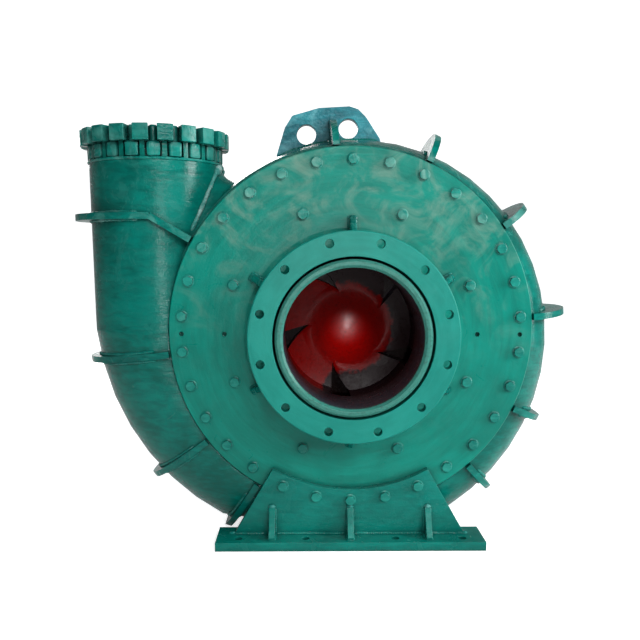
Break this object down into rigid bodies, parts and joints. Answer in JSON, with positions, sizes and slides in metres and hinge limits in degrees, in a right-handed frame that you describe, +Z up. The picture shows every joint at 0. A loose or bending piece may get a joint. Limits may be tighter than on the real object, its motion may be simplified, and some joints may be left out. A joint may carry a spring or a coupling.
{
  "type": "slurry pump",
  "caption": "Horizontal volute slurry pump with top discharge at the left, ribbed casing, bolted covers, suction flange, red impeller, bearing bracket and bare keyed shaft.",
  "frame": {"origin": "on the ground plane under the shaft axis, midway between the two feet, at the casing's mid-plane", "axes": "+Z up, -Y out of the suction flange, +Y towards the drive end, +X to the right seen from the suction side (the discharge branch stands at -X and points up)"},
  "size_m": [1.1309, 1.172, 0.972],
  "materials": {
    "green_paint": "glossy green machine enamel over castings and plate",
    "painted_fasteners": "steel fasteners painted over with the casing",
    "lug_paint": "rough bluish green paint on flame-cut plate",
    "red_paint": "glossy dark red enamel",
    "liner_paint": "dull green paint over hard iron",
    "wear_iron": "rough grey hard iron",
    "machined_steel": "turned steel, lightly oiled",
    "gland_packing": "greased plaited fibre",
    "bronze": "turned bronze",
    "seal_rubber": "matt black rubber",
    "glass": "clear gauge glass in a metal rim"
  },
  "bodies": {
    "pump_body": {"volute_casing": "green_paint", "discharge_branch": "green_paint", "casing_ribs": "green_paint", "branch_rib": "green_paint", "lifting_lug": "lug_paint", "discharge_flange": "green_paint", "discharge_studs": "painted_fasteners", "discharge_nuts": "painted_fasteners", "front_cover": "green_paint", "suction_branch": "green_paint", "suction_gussets": "green_paint", "front_cover_bolts": "painted_fasteners", "front_liner": "liner_paint", "front_liner_bolts": "painted_fasteners", "front_foot": "green_paint", "rear_cover": "green_paint", "rear_cover_bolts": "painted_fasteners", "rear_liner": "wear_iron", "rear_liner_bolts": "painted_fasteners", "rear_foot": "green_paint", "stuffing_box": "green_paint", "stuffing_box_bolts": "painted_fasteners", "packing_rings": "gland_packing", "lantern_ring": "bronze", "flush_plug": "painted_fasteners", "gland_studs": "machined_steel", "bearing_bracket": "green_paint", "bracket_bolts": "painted_fasteners", "front_bearing_outer_ring": "machined_steel", "rear_bearing_outer_ring": "machined_steel", "front_end_cover": "green_paint", "rear_end_cover": "green_paint", "front_end_cover_bolts": "painted_fasteners", "rear_end_cover_bolts": "painted_fasteners", "front_lip_seal": "seal_rubber", "rear_lip_seal": "seal_rubber", "oil_breather": "bronze", "oil_level_glass": "glass", "oil_drain_plug": "painted_fasteners"},
    "rotor": {"impeller": "red_paint", "shaft": "machined_steel", "shaft_sleeve": "machined_steel", "front_bearing_inner_ring": "machined_steel", "rear_bearing_inner_ring": "machined_steel", "bearing_locknut": "machined_steel", "flinger": "machined_steel", "shaft_key": "machined_steel"},
    "front_rollers": {"front_roller_ring": "machined_steel"},
    "rear_rollers": {"rear_roller_ring": "machined_steel"},
    "gland": {"gland_follower": "green_paint", "gland_nuts": "machined_steel"}
  },
  "joints": [
    {"name": "rotor_spin", "type": "hinge", "parent": "pump_body", "child": "rotor", "pos_m": [0, 0, 0.47], "axis": [0, 1, 0], "continuous": true},
    {"name": "front_cage_spin", "type": "hinge", "parent": "pump_body", "child": "front_rollers", "pos_m": [0, 0.4535, 0.47], "axis": [0, 1, 0], "continuous": true},
    {"name": "rear_cage_spin", "type": "hinge", "parent": "pump_body", "child": "rear_rollers", "pos_m": [0, 0.7135, 0.47], "axis": [0, 1, 0], "continuous": true},
    {"name": "gland_slide", "type": "slide", "parent": "pump_body", "child": "gland", "axis": [0, 1, 0], "range_m": [0, 0.025]}
  ],
  "couplings": [
    {"joint": "front_cage_spin", "follows": "rotor_spin", "ratio": 0.4304},
    {"joint": "rear_cage_spin", "follows": "rotor_spin", "ratio": 0.4304}
  ]
}
